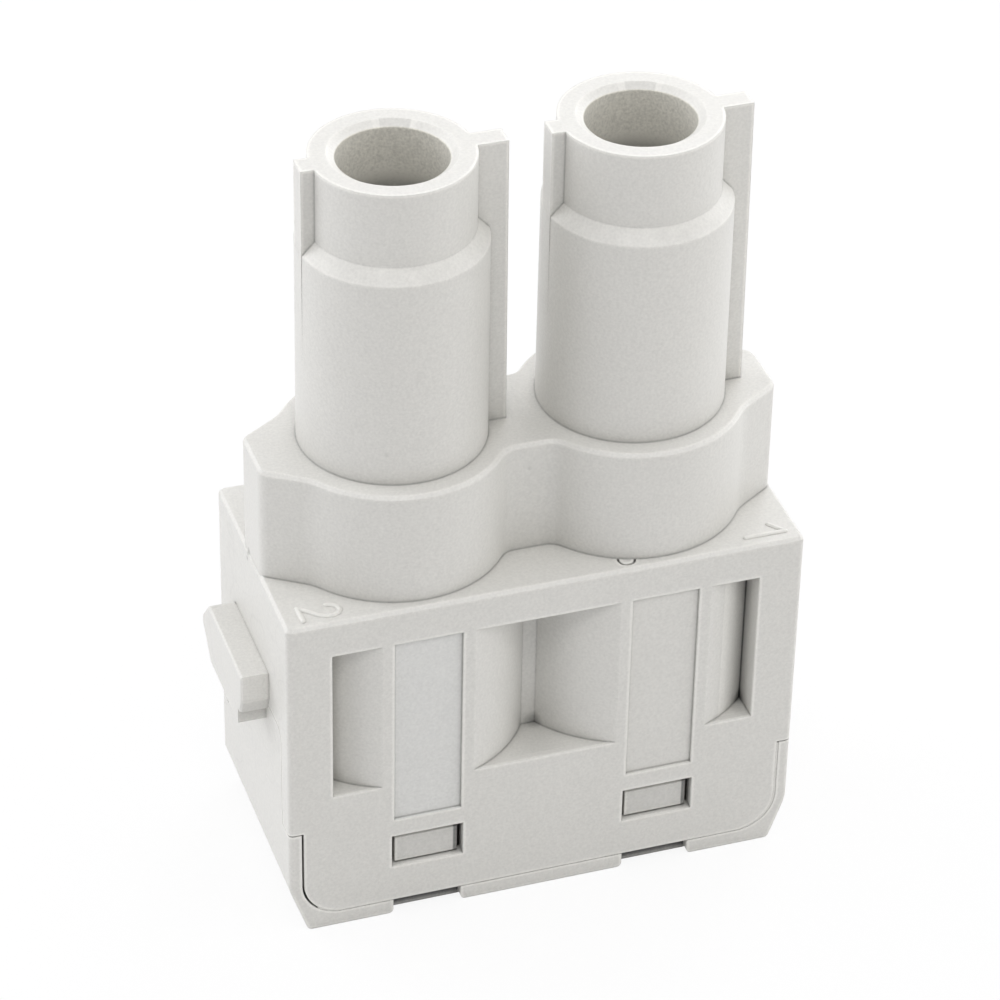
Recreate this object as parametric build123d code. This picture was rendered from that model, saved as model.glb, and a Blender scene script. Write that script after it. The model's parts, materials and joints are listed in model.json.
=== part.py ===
"""Two-pole female power insert for a heavy-duty rectangular connector.

Lengths are in millimetres. X runs along the body, Y across it with the front at -Y, and +Z points
out of the contact towers. The origin is the centre of the underside of the rear cap.
"""
import os

from build123d import *

# Body
body_length = 30.9
body_depth = 14.6
shoulder_z = 22.0
front_corner_radius = 0.3
back_corner_radius = 0.4
edge_bevel = 0.2

# Poles: pole 2 stands on the left, pole 1 on the right
pole_pitch = 14.2

# Block on the shoulder
block_height = 7.15
block_radius = 6.65
block_web_depth = 7.2
block_wedge_depth = 7.1
block_end_width = 3.7
block_length = 30.7
block_end_radius = 0.8
wedge_blend_radius = 3.0
waist_blend_radius = 1.2

# Towers, with heights measured up from the shoulder
barrel_foot_radius = 5.42
barrel_radius = 5.38
barrel_height = 20.0
neck_radius = 4.64
neck_foot_height = 20.8
tower_height = 25.27
rib_thickness = 1.36
outer_rib_reach = 6.38
outer_rib_foot_reach = 6.55
inner_rib_reach = 5.36

# Bores of the housing
pin_bore_radius = 3.15
bore_chamfer = 0.45
bore_chamfer_depth = 0.32
neck_bore_length = 5.6
socket_bore_radius = 4.2
chamber_radius = 5.2
chamber_roof_drop = 0.85
key_length = 3.4
key_width = 9.2

# Ring mark on the shoulder, half of it under the block
mark_x = 4.9
mark_y = -6.35
mark_radius = 0.55
mark_width = 0.14
mark_depth = 0.15

# Recesses, panels and latch windows of the long sides, with heights measured down from the shoulder
recess_top_drop = 2.3
recess_floor_drop = 12.4
recess_half_length = 12.8
recess_cylinder_radius = 7.8
recess_web_depth = 8.1
panel_width = 4.06
panel_floor_drop = 15.0
panel_depth = 0.18
window_width = 4.35
window_top_drop = 16.2
window_floor_drop = 18.5

# Rear cap
cap_wall = 0.75
cap_floor = 0.96
cap_wall_top = 7.25
cap_corner_radius = 2.4
cap_chamfer_width = 1.1
cap_chamfer_height = 3.15
cap_chamfer_top_radius = 1.5
cap_chamfer_foot_radius = 0.35
arm_width = 11.7
arm_top_drop = 8.15
arm_corner_radius = 0.75
notch_width = 4.15
notch_depth = 0.6
notch_corner_radius = 0.3
entry_radius = 4.3
entry_chamfer = 0.3
seam_gap = 0.12
floor_gap = 0.04
arm_gap = 0.06

# Latch tongues of the cap
tongue_width = 3.8
tongue_inset = 0.75
tongue_thickness = 1.0
tongue_gap = 0.1
tongue_side_gap = 0.5
hook_reach = 0.5
hook_face = 1.75
hook_lead = 0.1
pocket_head_room = 1.3

# Retaining lugs on the cap's arms: the left one is wider than the right one
lug_reach = 1.65
lug_gap = 0.06
left_lug_front = 3.5
left_lug_back = 5.3
right_lug_front = 2.6
right_lug_back = 4.1
lug_top_drop = 5.65
lug_foot_drop = 9.45
lug_step_drop = 8.4
lug_step = 0.8
lug_bevel_drop = 7.35
lug_bevel = 0.35
lug_back_drop = 7.4
lug_back_radius = 0.7
lug_back_slant = 1.8
lug_back_bevel = 1.6
lug_edge_bevel = 0.12

# Contacts
contact_end_gap = 0.05
contact_radius = 5.1
contact_flat_gap = 0.05
cable_bore_radius = 4.1
cable_bore_end = 13.0
screw_hole_radius = 2.7
screw_hole_start = 18.0
screw_hole_end = 24.0
socket_radius = 4.1
socket_pin_radius = 3.025
socket_chamfer = 0.4
socket_slot_width = 0.5
socket_slot_foot = 27.0
socket_slots = 4
socket_front_gap = 0.1

# Spring sleeves and their grooves, with the drop measured down from the mouth of the socket
spring_drop = 6.4
spring_height = 3.6
spring_inner_radius = 3.72
spring_thickness = 0.36
spring_slot_width = 0.6
groove_radius = 3.7
groove_side_gap = 0.1

# Cone screws
screw_gap = 0.05
screw_head_drop = 0.5
cone_tip_radius = 0.5
hex_across_flats = 3.0
hex_depth = 3.0

# How far a cutting tool reaches past what it cuts, and how deep the ribs are rooted in the block
tool_reach = 1.0
rib_root = 1.0

# Places worked out from the sizes above
half_length = body_length / 2
half_depth = body_depth / 2
block_top_z = shoulder_z + block_height
tower_top_z = shoulder_z + tower_height
chamber_roof_z = shoulder_z - chamber_roof_drop
neck_bore_foot_z = tower_top_z - neck_bore_length
housing_foot_z = cap_floor + floor_gap
arm_top_z = shoulder_z - arm_top_drop
window_top_z = shoulder_z - window_top_drop
window_floor_z = shoulder_z - window_floor_drop
pocket_face = half_depth - tongue_inset
tongue_face = pocket_face - tongue_gap
pocket_back = tongue_face - tongue_thickness - tongue_side_gap
spring_bottom = neck_bore_foot_z - spring_drop
pole_x = {2: -pole_pitch / 2, 1: pole_pitch / 2}


def box_between(low, high):
    """A box given by its lowest and highest corners."""
    size = [h - l for l, h in zip(low, high)]
    middle = [(h + l) / 2 for l, h in zip(low, high)]
    return Pos(*middle) * Box(*size)


def round_solid(points):
    """A turned solid about Z from its half outline, given as (radius, height) points."""
    outline = Polyline([(r, 0, z) for r, z in points], close=True)
    return revolve(make_face(outline), Axis.Z)


def cylinder_between(radius, low, high):
    """A cylinder about Z from one height to another."""
    return Pos(0, 0, (low + high) / 2) * Cylinder(radius, high - low)


def both_sides(tool):
    """A tool for the front, with its mirror image for the back."""
    return [tool, mirror(tool, Plane.XZ)]


def footprint():
    """The body's plan, with its back corners rounded more than its front ones."""
    plan = Rectangle(body_length, body_depth)
    plan = fillet(plan.vertices().group_by(Axis.Y)[0], front_corner_radius)
    return fillet(plan.vertices().group_by(Axis.Y)[-1], back_corner_radius)


def block_plan():
    """Two circles joined by a web, with a wedge from each circle to the body's end."""
    pole, end = pole_pitch / 2, block_length / 2
    wide, narrow = block_wedge_depth / 2, block_end_width / 2
    wedge_foot = pole + (block_radius**2 - wide**2) ** 0.5
    web_end = pole - (block_radius**2 - (block_web_depth / 2) ** 2) ** 0.5
    plan = Rectangle(pole_pitch, block_web_depth)
    for side in (-1, 1):
        corners = [
            (pole, -wide),
            (wedge_foot, -wide),
            (end, -narrow),
            (end, narrow),
            (wedge_foot, wide),
            (pole, wide),
        ]
        plan += Pos(side * pole, 0) * Circle(block_radius)
        plan += make_face(Polyline([(side * x, y) for x, y in corners], close=True))
    blends = {end: block_end_radius, wedge_foot: wedge_blend_radius, web_end: waist_blend_radius}
    for place, radius in blends.items():
        plan = fillet([v for v in plan.vertices() if abs(abs(v.X) - place) < 0.001], radius)
    return plan


def block():
    """The peanut-shaped block, rooted in the body, with its top edge bevelled."""
    solid = Pos(0, 0, chamber_roof_z) * extrude(block_plan(), block_top_z - chamber_roof_z)
    top = solid.faces().sort_by(Axis.Z)[-1]
    return chamfer(top.outer_wire().edges(), edge_bevel)


def tower():
    """One contact tower about its own axis: barrel, chamfer, neck and two guide ribs."""
    solid = round_solid(
        [
            (0, chamber_roof_z),
            (barrel_foot_radius, chamber_roof_z),
            (barrel_foot_radius, block_top_z),
            (barrel_radius, shoulder_z + barrel_height),
            (neck_radius, shoulder_z + neck_foot_height),
            (neck_radius, tower_top_z),
            (0, tower_top_z),
        ]
    )
    half_rib = rib_thickness / 2
    rib_foot_z = block_top_z - rib_root
    corners = [
        (-inner_rib_reach, rib_foot_z),
        (outer_rib_foot_reach, rib_foot_z),
        (outer_rib_reach, tower_top_z),
        (-inner_rib_reach, tower_top_z),
    ]
    profile = make_face(Polyline([(x, 0, z) for x, z in corners], close=True))
    return solid + extrude(profile, half_rib, dir=(0, 1, 0), both=True)


def pole_bores():
    """What is bored out along one pole: pin bore, socket bore, keyed pocket and open chamber."""
    chamfer_foot = tower_top_z - bore_chamfer_depth
    key_foot = chamber_roof_z - key_length
    bores = round_solid(
        [
            (0, neck_bore_foot_z),
            (pin_bore_radius, neck_bore_foot_z),
            (pin_bore_radius, chamfer_foot),
            (pin_bore_radius + bore_chamfer, tower_top_z),
            (0, tower_top_z),
        ]
    )
    bores += cylinder_between(socket_bore_radius, chamber_roof_z, neck_bore_foot_z)
    bores += cylinder_between(chamber_radius, 0, key_foot)
    pocket = cylinder_between(chamber_radius, key_foot, chamber_roof_z)
    reach = chamber_radius + tool_reach
    half_key = key_width / 2
    bores += pocket & box_between((-reach, -half_key, key_foot), (reach, half_key, chamber_roof_z))
    return bores


def ring_mark():
    """The shallow ring sunk in the shoulder."""
    low, high = shoulder_z - mark_depth, shoulder_z + tool_reach
    ring = cylinder_between(mark_radius, low, high)
    ring -= cylinder_between(mark_radius - mark_width, low, high)
    return Pos(mark_x, mark_y, 0) * ring


def side_recesses():
    """The pockets in the front face, which leave the two pole cylinders standing."""
    low, high = shoulder_z - recess_floor_drop, shoulder_z - recess_top_drop
    reach, web = recess_half_length, recess_web_depth / 2
    slab = box_between((-reach, -half_depth - tool_reach, low), (reach, -web, high))
    for x in pole_x.values():
        slab -= Pos(x, 0, 0) * cylinder_between(recess_cylinder_radius, low, high)
    return slab


def side_openings(x):
    """Panel, latch window and latch pocket in front of one pole."""
    outside = half_depth + tool_reach
    half_panel = panel_width / 2
    panel = box_between(
        (x - half_panel, -outside, shoulder_z - panel_floor_drop),
        (x + half_panel, -half_depth + panel_depth, shoulder_z - recess_top_drop),
    )
    half_window = window_width / 2
    window = box_between(
        (x - half_window, -outside, window_floor_z),
        (x + half_window, -pocket_back, window_top_z),
    )
    half_pocket = tongue_width / 2 + tongue_side_gap
    pocket = box_between(
        (x - half_pocket, -pocket_face, 0),
        (x + half_pocket, -pocket_back, window_top_z + pocket_head_room),
    )
    return [panel, window, pocket]


def tray(inner_half_length, floor_top, wall_top):
    """Everything below and beside the body's foot: floor and end walls with a rounded inner corner."""
    reach = half_length + tool_reach
    outside = half_depth + tool_reach
    outer = box_between((-reach, -half_depth, -tool_reach), (reach, half_depth, wall_top))
    room = box_between(
        (-inner_half_length, -outside, floor_top),
        (inner_half_length, outside, shoulder_z),
    )
    foot_edges = room.edges().filter_by(Axis.Y).group_by(Axis.Z)[0]
    return outer - fillet(foot_edges, cap_corner_radius)


def arms(inner_half_length, gap):
    """The two arms that rise from the cap's end walls, grown by a gap for their recesses."""
    solids = []
    for side in (-1, 1):
        near, far = sorted((side * inner_half_length, side * (half_length + gap)))
        half_width = arm_width / 2 + gap
        arm = box_between((near, -half_width, cap_chamfer_height), (far, half_width, arm_top_z + gap))
        corners = arm.edges().filter_by(Axis.X).group_by(Axis.Z)[-1]
        solids.append(fillet(corners, arm_corner_radius))
    return solids


def housing():
    """The main moulding."""
    solid = extrude(footprint(), shoulder_z)
    solid = chamfer(solid.faces().sort_by(Axis.Z)[-1].outer_wire().edges(), edge_bevel)
    solid -= tray(half_length - cap_wall - seam_gap, housing_foot_z, cap_wall_top)
    solid -= arms(half_length - cap_wall - seam_gap, arm_gap)
    solid -= ring_mark()
    solid += block()
    solid -= both_sides(side_recesses())
    for x in pole_x.values():
        solid += Pos(x, 0, 0) * tower()
    for x in pole_x.values():
        solid -= Pos(x, 0, 0) * pole_bores()
        for tool in side_openings(x):
            solid -= both_sides(tool)
    return solid


def cap_outline():
    """The cap's outer form: the body's plan, with its two lower end corners cut back."""
    foot = half_length - cap_chamfer_width
    corners = [
        (-foot, 0, 0),
        (foot, 0, 0),
        (half_length, 0, cap_chamfer_height),
        (half_length, 0, shoulder_z),
        (-half_length, 0, shoulder_z),
        (-half_length, 0, cap_chamfer_height),
    ]
    profile = make_face(Polyline(corners, close=True))
    form = extrude(profile, half_depth, both=True)
    levels = form.edges().filter_by(Axis.Y).group_by(Axis.Z)
    form = fillet(levels[1], cap_chamfer_top_radius)
    form = fillet(form.edges().filter_by(Axis.Y).group_by(Axis.Z)[0], cap_chamfer_foot_radius)
    return form & extrude(footprint(), shoulder_z)


def latch_tongue(x):
    """One tongue in front of a pole, with a hook whose ramp leads it into the window."""
    face, back = tongue_face, tongue_face - tongue_thickness
    top = window_top_z - hook_lead
    hook_foot = window_floor_z + hook_lead
    corners = [
        (-back, 0),
        (-face, 0),
        (-face, hook_foot),
        (-face - hook_reach, hook_foot),
        (-face - hook_reach, hook_foot + hook_face),
        (-face, top),
        (-back, top),
    ]
    profile = make_face(Polyline([(x, y, z) for y, z in corners], close=True))
    return extrude(profile, tongue_width / 2, dir=(1, 0, 0), both=True)


def lug(side, front, back):
    """The retaining lug on one arm, which stands just clear of the body's end above the arm."""
    top, foot = shoulder_z - lug_top_drop, shoulder_z - lug_foot_drop
    step_z, bevel_z = shoulder_z - lug_step_drop, shoulder_z - lug_bevel_drop
    near, far = half_length + lug_gap, half_length + lug_reach
    corners = [
        (-front, top),
        (-front, bevel_z),
        (-front + lug_bevel, step_z),
        (-front + lug_step, step_z),
        (-front + lug_step, foot),
        (back - lug_back_slant, foot),
        (back, shoulder_z - lug_back_drop),
        (back - lug_back_bevel, top),
    ]
    profile = make_face(Polyline([(near, y, z) for y, z in corners], close=True))
    solid = extrude(profile, far - near, dir=(1, 0, 0))
    back_edges = solid.edges().filter_by(Axis.X).sort_by(Axis.Y)[-2:]
    solid = fillet(back_edges, lug_back_radius)
    rim = solid.faces().sort_by(Axis.X)[-1].outer_wire().edges()
    solid = chamfer([edge for edge in rim if edge.center().Z > step_z], lug_edge_bevel)
    solid += box_between(
        (half_length - cap_wall, -front + lug_step, foot),
        (near, back - lug_back_slant, step_z),
    )
    return solid if side > 0 else mirror(solid, Plane.YZ)


def rim_notch(x):
    """The notch below one latch window."""
    half_width = notch_width / 2
    return box_between(
        (x - half_width, -half_depth - tool_reach, -tool_reach),
        (x + half_width, -half_depth + notch_depth, cap_floor + tool_reach),
    )


def cable_entry():
    """The round hole through the cap's floor for one cable, with its mouth chamfered."""
    mouth, inside = entry_radius + entry_chamfer, cap_floor + tool_reach
    return round_solid(
        [
            (0, -tool_reach),
            (mouth, -tool_reach),
            (mouth, 0),
            (entry_radius, entry_chamfer),
            (entry_radius, inside),
            (0, inside),
        ]
    )


def rear_cap():
    """The clip-on cap: tray, arms, tongues and lugs, moulded as one."""
    inner = half_length - cap_wall
    solid = tray(inner, cap_floor, cap_wall_top - arm_gap)
    solid += arms(inner, 0)
    solid &= cap_outline()
    for x in pole_x.values():
        solid -= both_sides(rim_notch(x))
        solid -= Pos(x, 0, 0) * cable_entry()
        solid += both_sides(latch_tongue(x))
    mouths = [
        edge
        for edge in solid.edges().filter_by(Axis.Y).group_by(Axis.Z)[0]
        if abs(edge.center().Y) > half_depth - notch_depth
    ]
    solid = fillet(mouths, notch_corner_radius)
    solid += lug(-1, left_lug_front, left_lug_back)
    solid += lug(1, right_lug_front, right_lug_back)
    return solid


def contact():
    """One turned contact about its own axis: cable chamber, keyed collar and slotted socket."""
    rear = housing_foot_z + contact_end_gap
    seat = chamber_roof_z - contact_end_gap
    front = neck_bore_foot_z - socket_front_gap
    groove_low = spring_bottom - groove_side_gap
    groove_high = spring_bottom + spring_height + groove_side_gap
    solid = round_solid(
        [
            (cable_bore_radius, rear),
            (contact_radius, rear),
            (contact_radius, seat),
            (socket_radius, seat),
            (socket_radius, groove_low),
            (groove_radius, groove_low),
            (groove_radius, groove_high),
            (socket_radius, groove_high),
            (socket_radius, front),
            (socket_pin_radius + socket_chamfer, front),
            (socket_pin_radius, front - socket_chamfer),
            (socket_pin_radius, screw_hole_end),
            (screw_hole_radius, screw_hole_end),
            (screw_hole_radius, screw_hole_start),
            (cable_bore_radius, cable_bore_end),
        ]
    )
    reach, half_slot = socket_radius + tool_reach, socket_slot_width / 2
    slot = box_between((0, -half_slot, socket_slot_foot), (reach, half_slot, front + tool_reach))
    for turn in range(socket_slots):
        solid -= Rot(0, 0, turn * 360 / socket_slots) * slot
    half_flat = key_width / 2 - contact_flat_gap
    flat_foot = chamber_roof_z - key_length - contact_flat_gap
    for side in (-1, 1):
        near, far = sorted((side * half_flat, side * (contact_radius + tool_reach)))
        solid -= box_between((-contact_radius, near, flat_foot), (contact_radius, far, seat))
    return solid


def contact_spring():
    """One spring sleeve, bent round from strip with a slot left between its ends."""
    outer = spring_inner_radius + spring_thickness
    top = spring_bottom + spring_height
    sleeve = cylinder_between(outer, spring_bottom, top)
    sleeve -= cylinder_between(spring_inner_radius, spring_bottom, top)
    half_slot = spring_slot_width / 2
    gap = box_between((0, -half_slot, spring_bottom), (outer + tool_reach, half_slot, top))
    return Rot(0, 0, 180 / socket_slots) * (sleeve - gap)


def clamp_screw():
    """One cone screw: plain shank with a hexagon socket above, and a cone for the strands below."""
    radius = screw_hole_radius - screw_gap
    head = screw_hole_end - screw_head_drop
    solid = round_solid(
        [
            (0, cable_bore_end),
            (cone_tip_radius, cable_bore_end),
            (radius, screw_hole_start),
            (radius, head),
            (0, head),
        ]
    )
    hexagon = RegularPolygon(hex_across_flats / 2, 6, major_radius=False)
    return solid - Pos(0, 0, head - hex_depth) * extrude(hexagon, hex_depth)


def main():
    os.makedirs("parts", exist_ok=True)
    pieces = {"housing": housing(), "rear_cap": rear_cap()}
    for number, x in pole_x.items():
        pieces[f"contact_{number}"] = Pos(x, 0, 0) * contact()
        pieces[f"contact_spring_{number}"] = Pos(x, 0, 0) * contact_spring()
        pieces[f"clamp_screw_{number}"] = Pos(x, 0, 0) * clamp_screw()
    for name, piece in pieces.items():
        export_step(piece, f"parts/{name}.step")
        print(name, f"{piece.volume:.1f} mm3")


main()
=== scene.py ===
"""Looks of the two-pole connector insert: moulded plastic, plated contacts, raised digits, light and camera."""

import json
import math

import bmesh
import bpy
from mathutils import Matrix, Vector

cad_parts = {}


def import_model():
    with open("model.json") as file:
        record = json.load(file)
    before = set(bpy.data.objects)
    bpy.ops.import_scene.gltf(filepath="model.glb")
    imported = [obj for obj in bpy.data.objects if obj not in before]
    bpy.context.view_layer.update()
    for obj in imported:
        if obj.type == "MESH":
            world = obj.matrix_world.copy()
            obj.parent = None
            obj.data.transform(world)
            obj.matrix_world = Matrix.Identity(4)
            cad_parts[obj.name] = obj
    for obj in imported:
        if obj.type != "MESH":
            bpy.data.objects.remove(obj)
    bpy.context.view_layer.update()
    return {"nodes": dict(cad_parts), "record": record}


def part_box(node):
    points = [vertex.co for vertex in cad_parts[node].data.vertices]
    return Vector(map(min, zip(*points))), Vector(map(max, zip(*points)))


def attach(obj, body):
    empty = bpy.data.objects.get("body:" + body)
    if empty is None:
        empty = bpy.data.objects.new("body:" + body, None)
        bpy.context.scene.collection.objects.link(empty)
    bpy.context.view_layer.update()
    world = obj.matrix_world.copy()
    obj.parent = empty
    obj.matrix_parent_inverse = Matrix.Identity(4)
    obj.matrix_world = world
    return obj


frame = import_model()

MM = 0.001

# Widths over which the masks of the plastic fade, and how far before a face the mask of that face starts
HAIR = 0.01 * MM
SHARP = 0.02 * MM
CLOSE = 0.03 * MM
SOFT = 0.05 * MM
WIDE = 0.1 * MM
FACE = 0.02 * MM

# Body
SHOULDER_Z = 22.0 * MM
SHOULDER_RIM = 0.4 * MM
BODY_END = 15.45 * MM
BODY_FRONT = 7.3 * MM

# Towers: shoulder chamfer, pin bore and its mouth, whose turns are angles round the pole
TOWER_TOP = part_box("housing")[1].z
PIN_BORE = next(row for row in frame["record"]["mounts"] if row["name"] == "pin_entry_1")
POLE_X = PIN_BORE["pos_m"][0]
BORE_RADIUS = PIN_BORE["dims"]["r_mm"] * MM
BORE_REACH = 0.04 * MM
BORE_FOOT = TOWER_TOP - 5.6 * MM
# Painted shade down each pin bore: the depths where it starts and is full, and how far its edge wavers
BORE_DARK_DEPTHS = (2.7 * MM, 3.9 * MM)
BORE_DARK_WAVER = 1.5 * MM
MOUTH_WIDTH = 0.47 * MM
MOUTH_HEIGHT = 0.4 * MM
MOUTH_FADE = 0.04 * MM
# A painted reflection on the back of each mouth: a darker patch between two lighter edges, at these turns round the
# pole
MOUTH_REFLECTION_TURN = (1.0, 1.48)
MOUTH_REFLECTION_EDGE_TURNS = ((1.5, 1.6), (0.89, 0.97))
TURN_FADE = 0.02
BARREL_CHAMFER = (SHOULDER_Z + 19.9 * MM, SHOULDER_Z + 20.9 * MM)
CHAMFER_RADIUS = 6.0 * MM
CHAMFER_FADE = 0.6 * MM

# Framed panels, latch notches and the tongues' hooks above them
PANEL_HALF_WIDTH = 2.03 * MM
PANEL_HEIGHTS = (7.0 * MM, 19.7 * MM)
PANEL_REACH = 0.3 * MM
NOTCH_HALF_WIDTH = 2.08 * MM
# Painted shade on the backs of the latch notches, darker in a line towards their top
NOTCH_DEPTHS = (6.65 * MM, 6.73 * MM)
NOTCH_TOP = 1.0 * MM
NOTCH_LINE = (0.15 * MM, 0.4 * MM)
# Painted shade on the tongues' hooks, darkest near their right edges
HOOK_HEIGHTS = (3.5 * MM, 5.8 * MM)
TONGUE_FRONT = 5.95 * MM
TONGUE_HALF_WIDTH = 2.0 * MM
TONGUE_EDGE = 1.62 * MM

# Side recesses and the web between the two poles
RECESS_HEIGHTS = (9.6 * MM, 19.7 * MM)
RECESS_DEPTHS = (4.0 * MM, 6.8 * MM)
# Painted shade on the web between the poles, full near the middle and fading out over these distances
WEB_REACH = (2.2 * MM, 0.4 * MM)
# Painted light on the right recess: its span along x and its fade
PAINTED_LIGHT_SPAN = (9.6 * MM, 11.2 * MM)
PAINTED_LIGHT_SPAN_FADE = 0.8 * MM

# Lugs: the strip beside the body's end, and where their front ends start
LUG_ROOT = 0.16 * MM
LUG_FACE = BODY_END + 0.05 * MM
# Painted light on the lugs' front ends starts this far in front of the middle
LUG_FRONT = 3.4 * MM

# Corners of the shoulder that hold the digits
DIGIT_ENDS = 11.8 * MM
DIGIT_DEPTHS = (5.2 * MM, 6.8 * MM)

# Camera, solved from the photograph
CAMERA_PLACE = Vector((-0.0645074, -0.1855456, 0.1619839))
CAMERA_YAW = 0.3318
CAMERA_PITCH = 0.6163
CAMERA_ROLL = -0.0212
CAMERA_LENS = 150.62
CAMERA_SENSOR = 36.0
CAMERA_CLIP = (0.01, 10.0)

# Lamps: direction from the object to the lamp, distance, width and height in metres, strength in watts and tint
TARGET = Vector((0, 0, 0.024))
COOL = (0.978, 0.98, 1.0)
WARM = (1.0, 0.986, 0.965)
LAMPS = {
    "top_softbox": ((0.0, 0.0, 1.0), 0.60, (1.20, 1.20), 4.88, COOL),
    "key_softbox": ((-0.17, -0.50, 0.85), 0.60, (0.18, 0.09), 0.45, WARM),
    "front_high_softbox": ((-0.1, -1.0, 1.0), 0.60, (0.45, 0.30), 0.325, WARM),
    "front_softbox": ((-0.3, -1.0, 0.12), 0.60, (0.40, 0.30), 0.11, WARM),
    "left_softbox": ((-1.0, 0.0, 0.30), 0.60, (0.45, 0.45), 1.25, COOL),
    "left_back_softbox": ((-0.7, 0.7, 0.45), 0.60, (0.40, 0.40), 1.44, COOL),
    "right_softbox": ((1.0, 0.0, 0.30), 0.60, (0.45, 0.45), 1.20, COOL),
    "right_front_softbox": ((0.8, -0.6, 0.35), 0.60, (0.40, 0.45), 0.92, WARM),
    "right_back_softbox": ((0.7, 0.7, 0.45), 0.60, (0.40, 0.40), 1.2, COOL),
}

# Floor
FLOOR_SIZE = 3.0
FLOOR_DROP = 0.02 * MM
FLOOR_COLOUR = (0.85, 0.85, 0.85, 1.0)
FLOOR_SHOWN_WHITE = 0.88

# Plastic
PLASTIC_COLOUR = (0.645, 0.637, 0.607, 1.0)
PANEL_COLOUR = (0.650, 0.650, 0.632, 1.0)
# The pin bores' lighter, warmer colour is painted bounce light
BORE_BOUNCE_COLOUR = (0.675, 0.660, 0.603, 1.0)
PLASTIC_ROUGHNESS = 0.42
GRAIN_ROUGHNESS = 0.15
EDGE_ROUNDING = 0.14 * MM
GRAIN_SIZE = 0.16 * MM
GRAIN_TONE = 0.3
GRAIN_HEIGHT = 0.02 * MM
GRAIN_BUMP = 0.25
BORE_GRAIN_TONE = 0.5
CLOUD_SIZE = 2.5 * MM
CLOUD_TONE = 0.03
# Uneven painted highlights on the barrel chamfer: their size, how much of the noise shows, and how much lighter
CHAMFER_GLINT_SIZE = 0.8 * MM
CHAMFER_GLINT_LEVEL = 0.08
CHAMFER_GLINT_LIGHT = 0.16
FLOW_LINE_SIZE = 4.0 * MM
FLOW_LINE_WIDTH = 0.012
FLOW_LINE_TONE = 0.05

# Edges that turn outward get a painted highlight, creases get painted shade, slots the darkest painted shade, and
# pockets painted shade too. Each has the openness at which its tone starts and the openness at which it is full.
EDGE_REACH = 0.22 * MM
EDGE_OPENNESS = (0.99, 0.75)
EDGE_LIGHT = 0.25
END_EDGE_SHARE = 0.2
DIGIT_EDGE_CUT = 0.55
CREASE_REACH = 0.14 * MM
CREASE_OPENNESS = (0.95, 0.5)
CREASE_SHADE = 0.34
SLOT_OPENNESS = (0.4, 0.1)
SLOT_SHADE = 0.45
POCKET_REACH = 1.0 * MM
POCKET_OPENNESS = (0.6, 0.25)
POCKET_SHADE = 0.3
CALM_CREASES = 0.3
OCCLUSION_SAMPLES = 3
BEVEL_SAMPLES = 4

# Painted light and shade of single places: share of the plastic's tone that is added or taken away
RIM_LIGHT = 0.045
MOUTH_LIGHT = 0.07
MOUTH_REFLECTION_EDGE_LIGHT = 0.07
MOUTH_REFLECTION_SHADE = 0.09
BORE_DEPTH_SHADE = 0.5
WEB_SHADE = 0.08
RECESS_LIGHT = 0.11
LUG_END_LIGHT = 0.14
NOTCH_SHADE = 0.5
NOTCH_LINE_SHADE = 0.42
HOOK_SHADE = 0.1
TONGUE_EDGE_SHADE = 0.7

# Nicks and specks, and painted shade in recess corners: place in millimetres, radius in millimetres, share of tone
# taken away. Each is full within its core, a share of its radius.
MARKS_AND_CORNER_SHADE = (
    # A nick on the left end's top edge, then two specks
    ((-15.45, 0.7, 22.0), 0.3, 0.4),
    ((-15.45, 0.75, 21.5), 0.2, 0.4),
    ((-0.08, -3.6, 27.5), 0.17, 0.13),
    ((-8.94, -5.06, 31.17), 0.2, 0.1),
    # Painted shade in the corners of the centre, right and left recesses
    ((0.35, -4.1, 9.8), 0.65, 0.3),
    ((12.65, -5.4, 9.7), 0.7, 0.35),
    ((-12.7, -5.4, 9.7), 0.5, 0.25),
)
MARK_AND_SHADE_CORE = 0.3

# Metals: colour, roughness and the width of their turned grooves
METALS = {
    "contact_plating": ((0.82, 0.81, 0.78), 0.3, 0.08 * MM),
    "spring_steel": ((0.62, 0.62, 0.62), 0.25, 0.05 * MM),
    "screw_steel": ((0.5, 0.5, 0.5), 0.35, 0.1 * MM),
}
GROOVE_HEIGHT = 0.004 * MM
GROOVE_BUMP = 0.3
TARNISH_SIZE = 1.5 * MM
TARNISH_TONE = 0.25
TARNISH_ROUGHNESS = 0.3

# Raised digits on the shoulder: strokes in millimetres, given as (right, up), with up towards +X
DIGIT_STROKES = {
    "digit_2": (
        ((0.05, 0.12), (1.28, 0.15)),
        (
            (0.06, 0.16),
            (0.49, 0.66),
            (0.95, 1.12),
            (1.15, 1.47),
            (1.2, 1.87),
            (1.07, 2.22),
            (0.77, 2.4),
            (0.45, 2.34),
            (0.25, 2.12),
            (0.15, 1.77),
        ),
    ),
    "digit_1": (((0.88, 0.0), (0.88, 2.45)), ((0.88, 2.45), (0.0, 1.72))),
}
DIGIT_CORNERS = {"digit_2": (-14.42 * MM, -5.35 * MM), "digit_1": (12.13 * MM, -5.5 * MM)}
STROKE_WIDTH = 0.24 * MM
STROKE_HEIGHT = 0.12 * MM
STROKE_SLOPE = 0.05 * MM
STROKE_ROOT = 0.02 * MM
STROKE_STEP = 0.006 * MM
STROKE_END_STEPS = 6
MITRE_LIMIT = 0.3

# Seats that close the clearance between the lugs and the body's ends: outline in millimetres as (y, height from
# the shoulder), just inside the lug's own
LUG_SEATS = {
    "lug_seat_left": (-1, ((-3.49, -5.66), (-3.49, -7.35), (-3.15, -8.39), (4.4, -8.39), (4.95, -7.3), (3.4, -5.66))),
    "lug_seat_right": (1, ((-2.59, -5.66), (-2.59, -7.35), (-2.25, -8.39), (3.2, -8.39), (3.75, -7.3), (2.2, -5.66))),
}
SEAT_DEPTH = 0.06 * MM
SEAT_ROOT = 0.005 * MM

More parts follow.
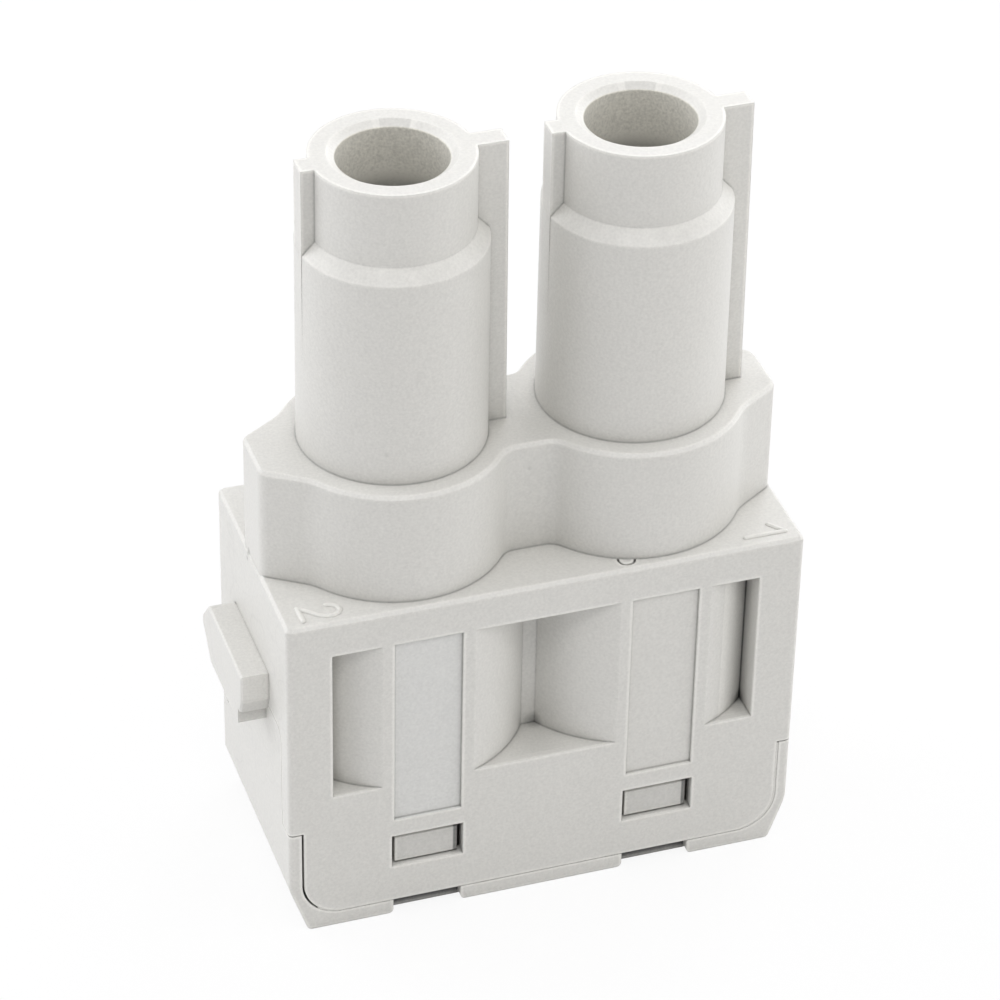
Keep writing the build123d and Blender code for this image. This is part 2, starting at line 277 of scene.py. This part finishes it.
# Seats between the housing's foot and the cap's rim, and strips in the seam round the rim's corners
RIM_SEAT_HEIGHTS = (0.955 * MM, 1.005 * MM)
RIM_SEAT_DEPTHS = (7.0 * MM, 7.28 * MM)
RIM_SEAT_RUNS = ((-12.2 * MM, -9.25 * MM), (-4.95 * MM, 4.95 * MM), (9.25 * MM, 12.2 * MM))
SEAM_RADIUS = 2.4 * MM
SEAM_CENTRE = (12.24 * MM, 3.38 * MM)
SEAM_WIDTHS = (0.04 * MM, 0.12 * MM)
SEAM_TOP = 7.15 * MM
SEAM_TURNS = {1: 90, -1: 40}
SEAM_STEPS = 12


class Material:
    """A node material with short calls for its nodes and links."""

    def __init__(self, name):
        self.material = bpy.data.materials.new(name)
        self.material.use_nodes = True
        self.tree = self.material.node_tree
        self.tree.nodes.clear()
        self.output = self.tree.nodes.new("ShaderNodeOutputMaterial")
        self.place = self.node("ShaderNodeTexCoord").outputs["Object"]
        parts = self.node("ShaderNodeSeparateXYZ", Vector=self.place)
        self.x, self.y, self.z = (parts.outputs[axis] for axis in "XYZ")

    def node(self, kind, settings=(), **values):
        """A new node, with its settings made and each named input given a value or another node's output."""
        made = self.tree.nodes.new(kind)
        for name, value in settings:
            setattr(made, name, value)
        for name, value in values.items():
            self.feed(made.inputs[name.replace("_", " ")], value)
        return made

    def feed(self, socket, value):
        """Gives an input a value or another node's output."""
        if isinstance(value, bpy.types.NodeSocket):
            self.tree.links.new(value, socket)
        else:
            socket.default_value = value

    def show(self, shader):
        """Makes a shader the material's surface."""
        self.feed(self.output.inputs["Surface"], shader.outputs[0])
        return self.material

    def math(self, operation, *values):
        """The result of one sum on numbers or outputs."""
        made = self.node("ShaderNodeMath", [("operation", operation)])
        for socket, value in zip(made.inputs, values):
            self.feed(socket, value)
        return made.outputs[0]

    def ramp(self, value, start, end):
        """0 at the start and before it, 1 at the end and after it."""
        made = self.node("ShaderNodeMapRange", Value=value, From_Min=start, From_Max=end)
        return made.outputs["Result"]

    def above(self, value, level, fade):
        """0 up to a level, and 1 once past it by the fade."""
        return self.ramp(value, level, level + fade)

    def below(self, value, level, fade):
        """0 down to a level, and 1 once past it by the fade."""
        return self.ramp(value, level, level - fade)

    def band(self, value, low, high, fade=CLOSE):
        """1 between two levels and 0 outside them."""
        return self.all_of(self.ramp(value, low - fade, low), self.ramp(value, high + fade, high))

    def all_of(self, first, *others):
        """The share of the surface where every mask holds."""
        for other in others:
            first = self.math("MULTIPLY", first, other)
        return first

    def unless(self, mask, share):
        """1 outside a mask, and the given share inside it."""
        return self.math("MULTIPLY_ADD", mask, share - 1.0, 1.0)

    def noise(self, size, detail=2.0, roughness=0.5):
        """Noise about zero, with features of one size."""
        made = self.node("ShaderNodeTexNoise", Vector=self.place, Scale=1 / size, Detail=detail, Roughness=roughness)
        return self.math("SUBTRACT", made.outputs["Fac"], 0.5)

    def openness(self, reach, inside=False):
        """1 where nothing is near the surface on its outer or its inner side, and less near other faces."""
        settings = [("samples", OCCLUSION_SAMPLES), ("inside", inside), ("only_local", inside)]
        return self.node("ShaderNodeAmbientOcclusion", settings, Distance=reach).outputs["AO"]

    def scaled(self, colour, share):
        """A colour times a number."""
        made = self.node("ShaderNodeVectorMath", [("operation", "SCALE")], Vector=colour, Scale=share)
        return made.outputs["Vector"]

    def mixed(self, first, second, share):
        """A mix of two colours."""
        made = self.node("ShaderNodeMix", [("data_type", "RGBA")], Factor=share, A=first, B=second)
        return made.outputs["Result"]


def pole_distance(m):
    """The distance from the axis of the nearer pole."""
    across = m.math("SUBTRACT", m.math("ABSOLUTE", m.x), POLE_X)
    squares = m.math("MULTIPLY_ADD", across, across, m.math("MULTIPLY", m.y, m.y))
    return m.math("SQRT", squares)


class Plastic(Material):
    """The moulded plastic, with the places and masks that its tones share."""

    def __init__(self, name):
        super().__init__(name)
        self.side = self.math("ABSOLUTE", self.x)
        self.front = self.math("ABSOLUTE", self.y)
        self.across = self.math("SUBTRACT", self.x, self.math("MULTIPLY", self.math("SIGN", self.x), POLE_X))
        self.pole_side = self.math("ABSOLUTE", self.across)
        self.radius = pole_distance(self)
        self.grain = self.noise(GRAIN_SIZE, detail=3.0, roughness=0.6)
        self.end_face = self.above(self.side, BODY_END - FACE, HAIR)
        self.digit_corner = self.above(self.side, DIGIT_ENDS, WIDE)
        self.pin_bore = self.all_of(
            self.below(self.radius, BORE_RADIUS + BORE_REACH, SHARP),
            self.above(self.z, BORE_FOOT - WIDE, WIDE),
        )
        self.mouth = self.all_of(
            self.below(self.radius, BORE_RADIUS + MOUTH_WIDTH, SHARP),
            self.above(self.z, TOWER_TOP - MOUTH_HEIGHT, MOUTH_FADE),
        )
        lug_root = self.all_of(
            self.math("GREATER_THAN", self.side, BODY_END),
            self.math("LESS_THAN", self.side, BODY_END + LUG_ROOT),
        )
        self.off_lug_root = self.unless(lug_root, 0.0)


def edge_share(m):
    """How much of the painted edge highlight each edge takes: less on the digits, the lugs and the ends of the
    shoulder.
    """
    high = m.above(m.z, SHOULDER_Z - SHOULDER_RIM, SOFT)
    lug = m.above(m.side, LUG_FACE, SOFT)
    end = m.all_of(m.above(m.side, BODY_END - SHOULDER_RIM, SOFT), m.math("MAXIMUM", high, lug))
    digit = m.all_of(m.digit_corner, m.band(m.front, *DIGIT_DEPTHS), m.above(m.z, SHOULDER_Z, HAIR))
    cut = m.math("MAXIMUM", end, m.math("MULTIPLY", digit, DIGIT_EDGE_CUT))
    return m.all_of(m.off_lug_root, m.unless(cut, END_EDGE_SHARE))


def relief_light_and_shade(m):
    """Painted highlights on edges and painted shade in creases, slots and pockets, calmer on the end faces and the
    digits.
    """
    near = m.openness(CREASE_REACH)
    digit_place = m.all_of(
        m.digit_corner,
        m.below(m.y, -DIGIT_DEPTHS[0], WIDE),
        m.above(m.z, SHOULDER_Z - FACE, HAIR),
    )
    full = m.unless(m.math("MAXIMUM", m.end_face, digit_place), CALM_CREASES)
    return [
        # A painted highlight on outward edges, then painted shade in creases, in slots and in pockets
        (EDGE_LIGHT, m.all_of(m.ramp(m.openness(EDGE_REACH, inside=True), *EDGE_OPENNESS), edge_share(m))),
        (-CREASE_SHADE, m.all_of(full, m.ramp(near, *CREASE_OPENNESS))),
        (-SLOT_SHADE, m.all_of(full, m.ramp(near, *SLOT_OPENNESS))),
        (-POCKET_SHADE, m.all_of(full, m.ramp(m.openness(POCKET_REACH), *POCKET_OPENNESS))),
    ]


def surface_tones(m):
    """Grain, faint clouds, flow lines on the end faces, and single marks: nicks, specks and painted shade in recess
    corners.
    """
    line = m.ramp(m.math("ABSOLUTE", m.noise(FLOW_LINE_SIZE, detail=1.0)), FLOW_LINE_WIDTH, 0.0)
    tones = [
        (GRAIN_TONE, m.grain),
        (CLOUD_TONE, m.noise(CLOUD_SIZE)),
        (-FLOW_LINE_TONE, m.all_of(line, m.end_face)),
    ]
    for place, size, shade in MARKS_AND_CORNER_SHADE:
        away = m.node("ShaderNodeVectorMath", [("operation", "DISTANCE")], Vector=m.place)
        m.feed(away.inputs[1], [c * MM for c in place])
        tones.append((-shade, m.ramp(away.outputs["Value"], size * MM, MARK_AND_SHADE_CORE * size * MM)))
    return tones


def tower_tones(m):
    """The towers' rims and mouths with painted light, uneven painted highlights on their chamfers, coarser grain in
    the pin bores, painted shade down each bore, and a painted reflection on each mouth.
    """
    depth = m.math("MULTIPLY_ADD", m.grain, BORE_DARK_WAVER, m.math("SUBTRACT", TOWER_TOP, m.z))
    deep = m.ramp(depth, *BORE_DARK_DEPTHS)
    chamfer = m.all_of(m.band(m.z, *BARREL_CHAMFER), m.below(m.radius, CHAMFER_RADIUS, CHAMFER_FADE))
    glints = m.math("MAXIMUM", m.math("ADD", m.noise(CHAMFER_GLINT_SIZE), CHAMFER_GLINT_LEVEL), 0.0)
    turn = m.math("ARCTAN2", m.y, m.across)
    tones = [
        # Painted light on the towers' flat tops
        (RIM_LIGHT, m.above(m.z, TOWER_TOP - FACE, HAIR)),
        # Uneven painted highlights on the barrel chamfer
        (CHAMFER_GLINT_LIGHT, m.all_of(chamfer, glints)),
        (BORE_GRAIN_TONE, m.all_of(m.grain, m.pin_bore)),
        # Painted shade, growing darker down each pin bore
        (-BORE_DEPTH_SHADE, m.all_of(m.pin_bore, deep, deep)),
        # Painted light on the chamfer of each bore's mouth
        (MOUTH_LIGHT, m.mouth),
        # The darker patch of the painted reflection on each mouth
        (-MOUTH_REFLECTION_SHADE, m.all_of(m.mouth, m.band(turn, *MOUTH_REFLECTION_TURN, TURN_FADE))),
    ]
    # The two lighter edges of the painted reflection
    for turns in MOUTH_REFLECTION_EDGE_TURNS:
        tones.append((MOUTH_REFLECTION_EDGE_LIGHT, m.all_of(m.mouth, m.band(turn, *turns, TURN_FADE))))
    return tones


def side_light_and_shade(m):
    """Painted shade on the web between the poles and on the backs of the latch notches, and painted light on the
    right recess of the long sides and on the lugs' front ends.
    """
    recess = m.all_of(m.band(m.z, *RECESS_HEIGHTS), m.band(m.front, *RECESS_DEPTHS))
    notch = m.all_of(
        m.below(m.pole_side, NOTCH_HALF_WIDTH, SHARP),
        m.band(m.front, *NOTCH_DEPTHS),
        m.below(m.z, NOTCH_TOP, SHARP),
    )
    return [
        # Painted shade on the web
        (-WEB_SHADE, m.all_of(recess, m.ramp(m.side, *WEB_REACH))),
        # Painted light on the right recess
        (RECESS_LIGHT, m.all_of(recess, m.band(m.x, *PAINTED_LIGHT_SPAN, PAINTED_LIGHT_SPAN_FADE))),
        # Painted shade on the backs of the latch notches, darker towards their top
        (-NOTCH_SHADE, notch),
        (-NOTCH_LINE_SHADE, m.all_of(notch, m.ramp(m.z, *NOTCH_LINE))),
        # Painted light on the lugs' front ends
        (LUG_END_LIGHT, m.all_of(m.above(m.side, LUG_FACE, SOFT), m.below(m.y, -LUG_FRONT, SOFT))),
    ]


def tongue_shade(m):
    """Painted shade on the hooks of the latch tongues, darkest at their right edges."""
    tongue = m.all_of(
        m.band(m.z, *HOOK_HEIGHTS),
        m.above(m.front, TONGUE_FRONT, SOFT),
        m.below(m.pole_side, TONGUE_HALF_WIDTH, SOFT),
    )
    return [
        # Painted shade on each hook, then more at its right edge
        (-HOOK_SHADE, tongue),
        (-TONGUE_EDGE_SHADE, m.all_of(tongue, m.above(m.across, TONGUE_EDGE, WIDE))),
    ]


def moulded_plastic(name, with_tongue_shade):
    """Matt light plastic with fine grain and rounded edges, with painted light and shade in the tones of its places.
    """
    m = Plastic(name)
    tones = relief_light_and_shade(m) + surface_tones(m) + tower_tones(m) + side_light_and_shade(m)
    if with_tongue_shade:
        tones += tongue_shade(m)
    tone = 1.0
    for amount, share in tones:
        tone = m.math("MULTIPLY_ADD", share, amount, tone)
    panel = m.all_of(
        m.below(m.math("ABSOLUTE", m.math("ADD", m.x, POLE_X)), PANEL_HALF_WIDTH, SHARP),
        m.band(m.z, *PANEL_HEIGHTS),
        m.below(m.y, PANEL_REACH - BODY_FRONT, SOFT),
    )
    colour = m.mixed(m.mixed(PLASTIC_COLOUR, PANEL_COLOUR, panel), BORE_BOUNCE_COLOUR, m.pin_bore)
    rounding = m.math("MULTIPLY", m.off_lug_root, EDGE_ROUNDING)
    bevel = m.node("ShaderNodeBevel", [("samples", BEVEL_SAMPLES)], Radius=rounding)
    bump = m.node(
        "ShaderNodeBump",
        Strength=GRAIN_BUMP,
        Distance=GRAIN_HEIGHT,
        Height=m.grain,
        Normal=bevel.outputs["Normal"],
    )
    shader = m.node(
        "ShaderNodeBsdfPrincipled",
        Base_Color=m.scaled(colour, tone),
        Roughness=m.math("MULTIPLY_ADD", m.grain, GRAIN_ROUGHNESS, PLASTIC_ROUGHNESS),
        Normal=bump.outputs["Normal"],
    )
    return m.show(shader)


def turned_metal(name, colour, roughness, groove_size):
    """Turned metal: fine grooves round the pole's axis, with slight clouds of tarnish."""
    m = Material(name)
    rings = m.node("ShaderNodeCombineXYZ", X=pole_distance(m), Z=m.z)
    groove = m.node("ShaderNodeTexNoise", Vector=rings.outputs[0], Scale=1 / groove_size, Detail=3.0)
    tarnish = m.noise(TARNISH_SIZE, detail=3.0)
    bump = m.node("ShaderNodeBump", Strength=GROOVE_BUMP, Distance=GROOVE_HEIGHT, Height=groove.outputs["Fac"])
    shader = m.node(
        "ShaderNodeBsdfPrincipled",
        Base_Color=m.scaled(colour, m.math("MULTIPLY_ADD", tarnish, TARNISH_TONE, 1.0)),
        Metallic=1.0,
        Roughness=m.math("MULTIPLY_ADD", tarnish, TARNISH_ROUGHNESS, roughness),
        Normal=bump.outputs["Normal"],
    )
    return m.show(shader)


def dress_nodes():
    """Gives every CAD node its material, and returns the materials by slot."""
    looks = {
        "housing_plastic": moulded_plastic("housing_plastic", with_tongue_shade=False),
        "cap_plastic": moulded_plastic("cap_plastic", with_tongue_shade=True),
    }
    for slot, values in METALS.items():
        looks[slot] = turned_metal(slot, *values)
    slots = {row["node"]: row["material_slot"] for row in frame["record"]["subparts"]}
    for name, node in frame["nodes"].items():
        node.data.materials.clear()
        node.data.materials.append(looks[slots[name]])
    return looks


def add_piece(name, mesh, look):
    """A piece of the scene that rides on the part."""
    mesh.normal_update()
    data = bpy.data.meshes.new(name)
    mesh.to_mesh(data)
    mesh.free()
    piece = bpy.data.objects.new(name, data)
    bpy.context.scene.collection.objects.link(piece)
    data.materials.append(look)
    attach(piece, "root")


def stroke_outline(points, half_width):
    """The outline of a line of flat points, with mitred bends and half-round ends, anticlockwise."""
    runs = [(b - a).normalized() for a, b in zip(points, points[1:])]
    sides = []
    for before, after in zip([runs[0]] + runs, runs + [runs[-1]]):
        middle = (before + after).normalized()
        sides.append(Vector((-middle.y, middle.x)) / max(middle.dot(after), MITRE_LIMIT))
    left = [p + side * half_width for p, side in zip(points, sides)]
    right = [p - side * half_width for p, side in zip(points, sides)]
    ends = []
    for end, run in ((points[-1], runs[-1]), (points[0], -runs[0])):
        start = math.atan2(run.y, run.x) - math.pi / 2
        turns = [start + math.pi * step / STROKE_END_STEPS for step in range(1, STROKE_END_STEPS)]
        ends.append([end + Vector((math.cos(t), math.sin(t))) * half_width for t in turns])
    return right + ends[0] + left[::-1] + ends[1]


def add_stroke(mesh, points, foot, drop):
    """One raised stroke with sloping sides, rooted in the surface, and a little lower by the given drop."""
    half = STROKE_WIDTH / 2
    top = foot + STROKE_HEIGHT - drop
    levels = (
        (half + STROKE_SLOPE, foot - STROKE_ROOT),
        (half + STROKE_SLOPE, foot),
        (half, top - STROKE_SLOPE),
        (half - STROKE_SLOPE, top),
    )
    rings = []
    for half_width, z in levels:
        rings.append([mesh.verts.new((p.x, p.y, z)) for p in stroke_outline(points, half_width)])
    total = len(rings[0])
    for low, high in zip(rings, rings[1:]):
        for i in range(total):
            j = (i + 1) % total
            mesh.faces.new((low[i], low[j], high[j], high[i]))
    count = len(points)
    second_side = total // 2
    for ring, up in ((rings[-1], True), (rings[0], False)):
        right, left = ring[:count], ring[second_side: second_side + count][::-1]
        faces = [(right[i], right[i + 1], left[i + 1], left[i]) for i in range(count - 1)]
        faces.append((right[-1], *ring[count:second_side], left[-1]))
        faces.append((left[0], *ring[second_side + count:], right[0]))
        for face in faces:
            mesh.faces.new(face if up else face[::-1])


def digits(look):
    """The raised digits that number the poles on the shoulder."""
    for name, strokes in DIGIT_STROKES.items():
        corner = DIGIT_CORNERS[name]
        mesh = bmesh.new()
        for index, stroke in enumerate(strokes):
            points = [Vector((corner[0] + up * MM, corner[1] - right * MM)) for right, up in stroke]
            add_stroke(mesh, points, SHOULDER_Z, index * STROKE_STEP)
        add_piece(name, mesh, look)


def lug_seats(look):
    """The low pads on which the lugs bear against the body's ends."""
    for name, (side, outline) in LUG_SEATS.items():
        mesh = bmesh.new()
        near, far = (side * (BODY_END + depth) for depth in (-SEAT_ROOT, SEAT_DEPTH + SEAT_ROOT))
        rings = [[mesh.verts.new((x, y * MM, SHOULDER_Z + z * MM)) for y, z in outline] for x in (near, far)]
        total = len(outline)
        for i in range(total):
            j = (i + 1) % total
            mesh.faces.new((rings[0][i], rings[0][j], rings[1][j], rings[1][i]))
        for ring in rings:
            mesh.faces.new(ring)
        bmesh.ops.recalc_face_normals(mesh, faces=mesh.faces)
        add_piece(name, mesh, look)


def add_seam_seat(mesh, end, side, degrees):
    """The strip that closes the gap round one corner of the cap's rim, and up the wall after a full quarter turn."""
    rows = []
    for step in range(SEAM_STEPS + 1):
        turn = math.radians(degrees * step / SEAM_STEPS)
        across, up = math.sin(turn), -math.cos(turn)
        half = (SEAM_WIDTHS[0] * -up + SEAM_WIDTHS[1] * across) / 2 + SEAT_ROOT
        reaches = (SEAM_RADIUS - half, SEAM_RADIUS + half)
        rows.append([(SEAM_CENTRE[0] + across * r, SEAM_CENTRE[1] + up * r) for r in reaches])
    if degrees == 90:
        rows.append([(x, SEAM_TOP) for x, _ in rows[-1]])
    corners = []
    for row in rows:
        corners.append([mesh.verts.new((end * x, side * y, z)) for x, z in row for y in RIM_SEAT_DEPTHS])
    faces = []
    for a, b in zip(corners, corners[1:]):
        for i, j in ((0, 1), (1, 3), (3, 2), (2, 0)):
            faces.append(mesh.faces.new((a[i], a[j], b[j], b[i])))
    for row in (corners[0], corners[-1]):
        faces.append(mesh.faces.new((row[0], row[1], row[3], row[2])))
    bmesh.ops.recalc_face_normals(mesh, faces=faces)


def rim_seats(look):
    """The low strips on which the housing's foot rests on the cap's rim."""
    mesh = bmesh.new()
    low, high = RIM_SEAT_HEIGHTS
    for start, end in RIM_SEAT_RUNS:
        for side in (-1, 1):
            near, far = sorted(side * depth for depth in RIM_SEAT_DEPTHS)
            middle = Vector((start + end, near + far, low + high)) / 2
            size = Matrix.Diagonal((end - start, far - near, high - low, 1.0))
            bmesh.ops.create_cube(mesh, size=1.0, matrix=Matrix.Translation(middle) @ size)
    for end, degrees in SEAM_TURNS.items():
        for side in (-1, 1):
            add_seam_seat(mesh, end, side, degrees)
    add_piece("rim_seats", mesh, look)


def floor():
    """A pale floor that shows nearly white to the camera and in reflections, and keeps the object's shadow."""
    bpy.ops.mesh.primitive_plane_add(size=FLOOR_SIZE, location=(0, 0, -FLOOR_DROP))
    plane = bpy.context.object
    plane.name = "floor"
    m = Material("floor")
    diffuse = m.node("ShaderNodeBsdfDiffuse", Color=FLOOR_COLOUR)
    white = m.node("ShaderNodeEmission", Strength=1.0)
    path = m.node("ShaderNodeLightPath")
    seen = m.math("MAXIMUM", path.outputs["Is Camera Ray"], path.outputs["Is Glossy Ray"])
    mix = m.node("ShaderNodeMixShader", Fac=m.math("MULTIPLY", seen, FLOOR_SHOWN_WHITE))
    m.feed(mix.inputs[1], diffuse.outputs["BSDF"])
    m.feed(mix.inputs[2], white.outputs["Emission"])
    plane.data.materials.append(m.show(mix))


def world():
    """White to the camera and in reflections, and no light of its own."""
    made = bpy.data.worlds.new("studio")
    made.use_nodes = True
    bpy.context.scene.world = made
    tree = made.node_tree
    background = tree.nodes["Background"]
    background.inputs["Color"].default_value = (1.0, 1.0, 1.0, 1.0)
    path = tree.nodes.new("ShaderNodeLightPath")
    seen = tree.nodes.new("ShaderNodeMath")
    seen.operation = "MAXIMUM"
    tree.links.new(path.outputs["Is Camera Ray"], seen.inputs[0])
    tree.links.new(path.outputs["Is Glossy Ray"], seen.inputs[1])
    tree.links.new(seen.outputs[0], background.inputs["Strength"])


def lamps():
    """The softboxes round the object."""
    for name, (direction, distance, size, power, tint) in LAMPS.items():
        data = bpy.data.lights.new(name, "AREA")
        data.shape = "RECTANGLE"
        data.size, data.size_y = size
        data.energy = power
        data.color = tint
        lamp = bpy.data.objects.new(name, data)
        bpy.context.scene.collection.objects.link(lamp)
        away = Vector(direction).normalized()
        lamp.location = TARGET + away * distance
        lamp.rotation_euler = away.to_track_quat("Z", "Y").to_euler()


def camera():
    """The camera at the photograph's viewpoint."""
    flat = math.cos(CAMERA_PITCH)
    forward = Vector((math.sin(CAMERA_YAW) * flat, math.cos(CAMERA_YAW) * flat, -math.sin(CAMERA_PITCH)))
    level = Vector((math.cos(CAMERA_YAW), -math.sin(CAMERA_YAW), 0))
    upright = level.cross(forward)
    right = level * math.cos(CAMERA_ROLL) - upright * math.sin(CAMERA_ROLL)
    up = level * math.sin(CAMERA_ROLL) + upright * math.cos(CAMERA_ROLL)
    data = bpy.data.cameras.new("camera")
    data.lens = CAMERA_LENS
    data.sensor_width = CAMERA_SENSOR
    data.clip_start, data.clip_end = CAMERA_CLIP
    made = bpy.data.objects.new("camera", data)
    bpy.context.scene.collection.objects.link(made)
    made.matrix_world = Matrix.Translation(CAMERA_PLACE) @ Matrix((right, up, -forward)).transposed().to_4x4()
    bpy.context.scene.camera = made


looks = dress_nodes()
digits(looks["housing_plastic"])
lug_seats(looks["cap_plastic"])
rim_seats(looks["cap_plastic"])
floor()
world()
lamps()
camera()
bpy.context.scene.view_settings.view_transform = "Standard"
